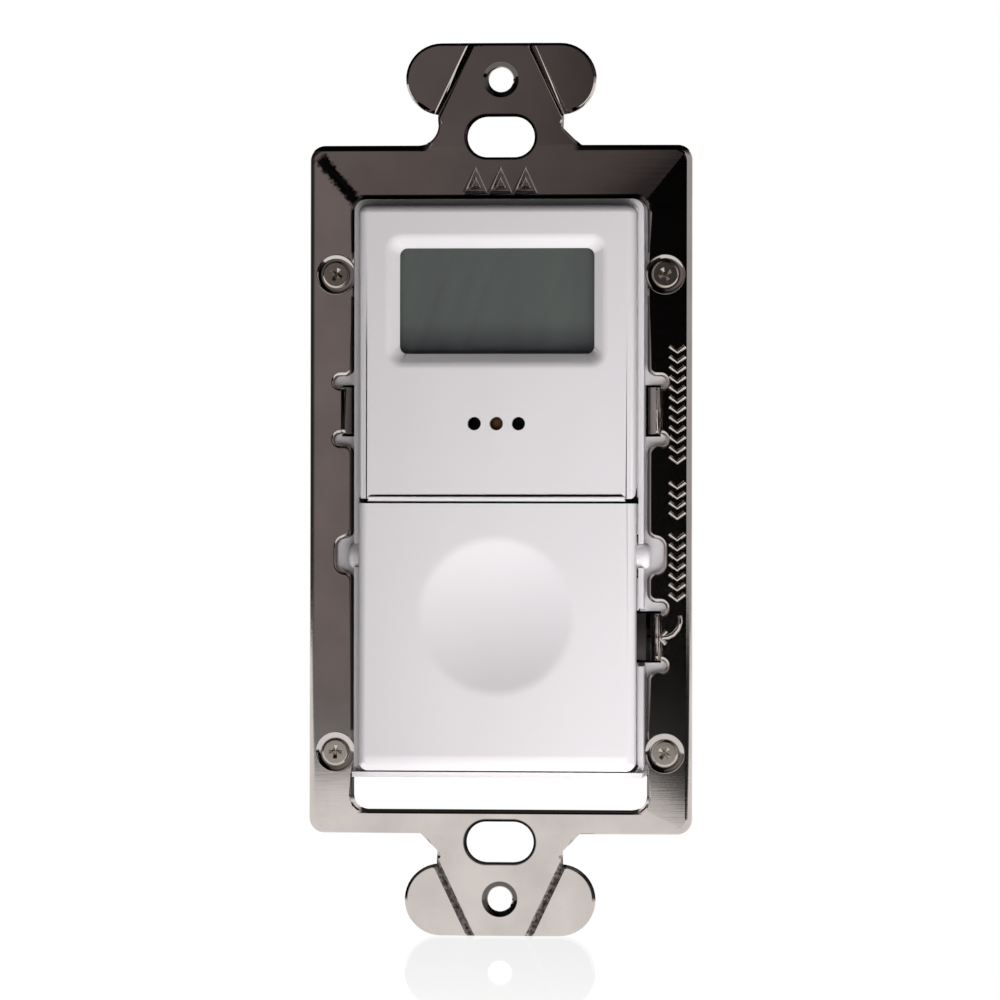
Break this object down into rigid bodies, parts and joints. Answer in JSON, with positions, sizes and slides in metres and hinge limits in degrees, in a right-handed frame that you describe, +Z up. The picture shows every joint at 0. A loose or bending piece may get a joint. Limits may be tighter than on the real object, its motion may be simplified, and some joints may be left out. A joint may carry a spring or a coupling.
{
  "type": "timer light switch",
  "caption": "In-wall digital timer light switch on a plated steel strap, with a display panel above a hinged push door that covers the programming keys.",
  "frame": {"origin": "midway between the two wall plate holes, on the rear face of the mounting strap", "axes": "+Z up along the strap, +X right as seen from the front, -Y out of the wall towards the user"},
  "size_m": [0.0454, 0.0372, 0.1056],
  "materials": {
    "nickel_plate": "bright nickel plate over stamped steel, faintly brushed",
    "screw_steel": "nickel-plated steel",
    "white_moulding": "white moulded plastic",
    "white_face": "white moulded plastic, satin gloss",
    "lens_clear": "clear moulded window",
    "display_glass": "unpowered liquid crystal glass, dark grey green",
    "tray_plastic": "white diffusing plastic",
    "contact_rubber": "conductive rubber strip",
    "amber_lamp": "amber lamp lens",
    "switch_plastic": "black switch body",
    "stem_plastic": "pale switch stem",
    "key_plastic": "grey moulded key",
    "dome_rubber": "translucent silicone dome",
    "board_laminate": "green solder mask on glass laminate",
    "chip_plastic": "black moulding compound",
    "can_metal": "plated steel can",
    "clip_steel": "spring steel, tinned",
    "spacer_plastic": "natural nylon",
    "relay_plastic": "dark blue relay cover",
    "capacitor_coat": "red film capacitor case",
    "can_sleeve": "dark blue shrink sleeve",
    "disc_coat": "blue epoxy coating",
    "fuse_body": "ceramic fuse body",
    "ferrite": "wound ferrite drum in shrink sleeve",
    "housing_plastic": "off-white moulded housing",
    "terminal_brass": "brass"
  },
  "bodies": {
    "frame": {"mounting_strap": "nickel_plate", "strap_screws": "screw_steel", "front_housing": "white_moulding", "display_bezel": "white_face", "display_lens": "lens_clear", "display_cell": "display_glass", "display_tray": "tray_plastic", "contact_strips": "contact_rubber", "status_lamp": "amber_lamp", "reset_switches": "switch_plastic", "key_switches": "switch_plastic", "override_switch": "switch_plastic", "override_dome": "dome_rubber", "control_board": "board_laminate", "controller_chip": "chip_plastic", "crystal": "can_metal", "backup_cell": "can_metal", "cell_clip": "clip_steel", "board_header": "chip_plastic", "board_spacers": "spacer_plastic", "board_screws": "screw_steel", "power_board": "board_laminate", "relay": "relay_plastic", "dropper_capacitor": "capacitor_coat", "smoothing_capacitor": "can_sleeve", "surge_suppressor": "disc_coat", "fuse": "fuse_body", "choke": "ferrite", "rectifier": "chip_plastic", "rear_housing": "housing_plastic", "terminal_plates": "terminal_brass", "terminal_clamps": "clip_steel", "terminal_screws": "terminal_brass"},
    "door": {"door": "white_face"},
    "key_clock": {"key_clock": "key_plastic"},
    "key_day": {"key_day": "key_plastic"},
    "key_hour": {"key_hour": "key_plastic"},
    "key_minute": {"key_minute": "key_plastic"},
    "key_program": {"key_program": "key_plastic"},
    "key_mode": {"key_mode": "key_plastic"},
    "reset_stem_left": {"reset_stem_left": "stem_plastic"},
    "reset_stem_right": {"reset_stem_right": "stem_plastic"}
  },
  "joints": [
    {"name": "door_hinge", "type": "hinge", "parent": "frame", "child": "door", "pos_m": [0, -0.002, -0.0078], "axis": [-1, 0, 0], "range_deg": [-1.5, 100], "deforming": ["override_dome"]},
    {"name": "clock_press", "type": "slide", "parent": "frame", "child": "key_clock", "axis": [0, 1, 0], "range_m": [0, 0.0004], "stiffness_N_per_m": 800},
    {"name": "day_press", "type": "slide", "parent": "frame", "child": "key_day", "axis": [0, 1, 0], "range_m": [0, 0.0004], "stiffness_N_per_m": 800},
    {"name": "hour_press", "type": "slide", "parent": "frame", "child": "key_hour", "axis": [0, 1, 0], "range_m": [0, 0.0004], "stiffness_N_per_m": 800},
    {"name": "minute_press", "type": "slide", "parent": "frame", "child": "key_minute", "axis": [0, 1, 0], "range_m": [0, 0.0004], "stiffness_N_per_m": 800},
    {"name": "program_press", "type": "slide", "parent": "frame", "child": "key_program", "axis": [0, 1, 0], "range_m": [0, 0.0004], "stiffness_N_per_m": 800},
    {"name": "mode_press", "type": "slide", "parent": "frame", "child": "key_mode", "axis": [0, 1, 0], "range_m": [0, 0.0004], "stiffness_N_per_m": 800},
    {"name": "reset_left_press", "type": "slide", "parent": "frame", "child": "reset_stem_left", "axis": [0, 1, 0], "range_m": [0, 0.0003], "stiffness_N_per_m": 800},
    {"name": "reset_right_press", "type": "slide", "parent": "frame", "child": "reset_stem_right", "axis": [0, 1, 0], "range_m": [0, 0.0003], "stiffness_N_per_m": 800}
  ]
}
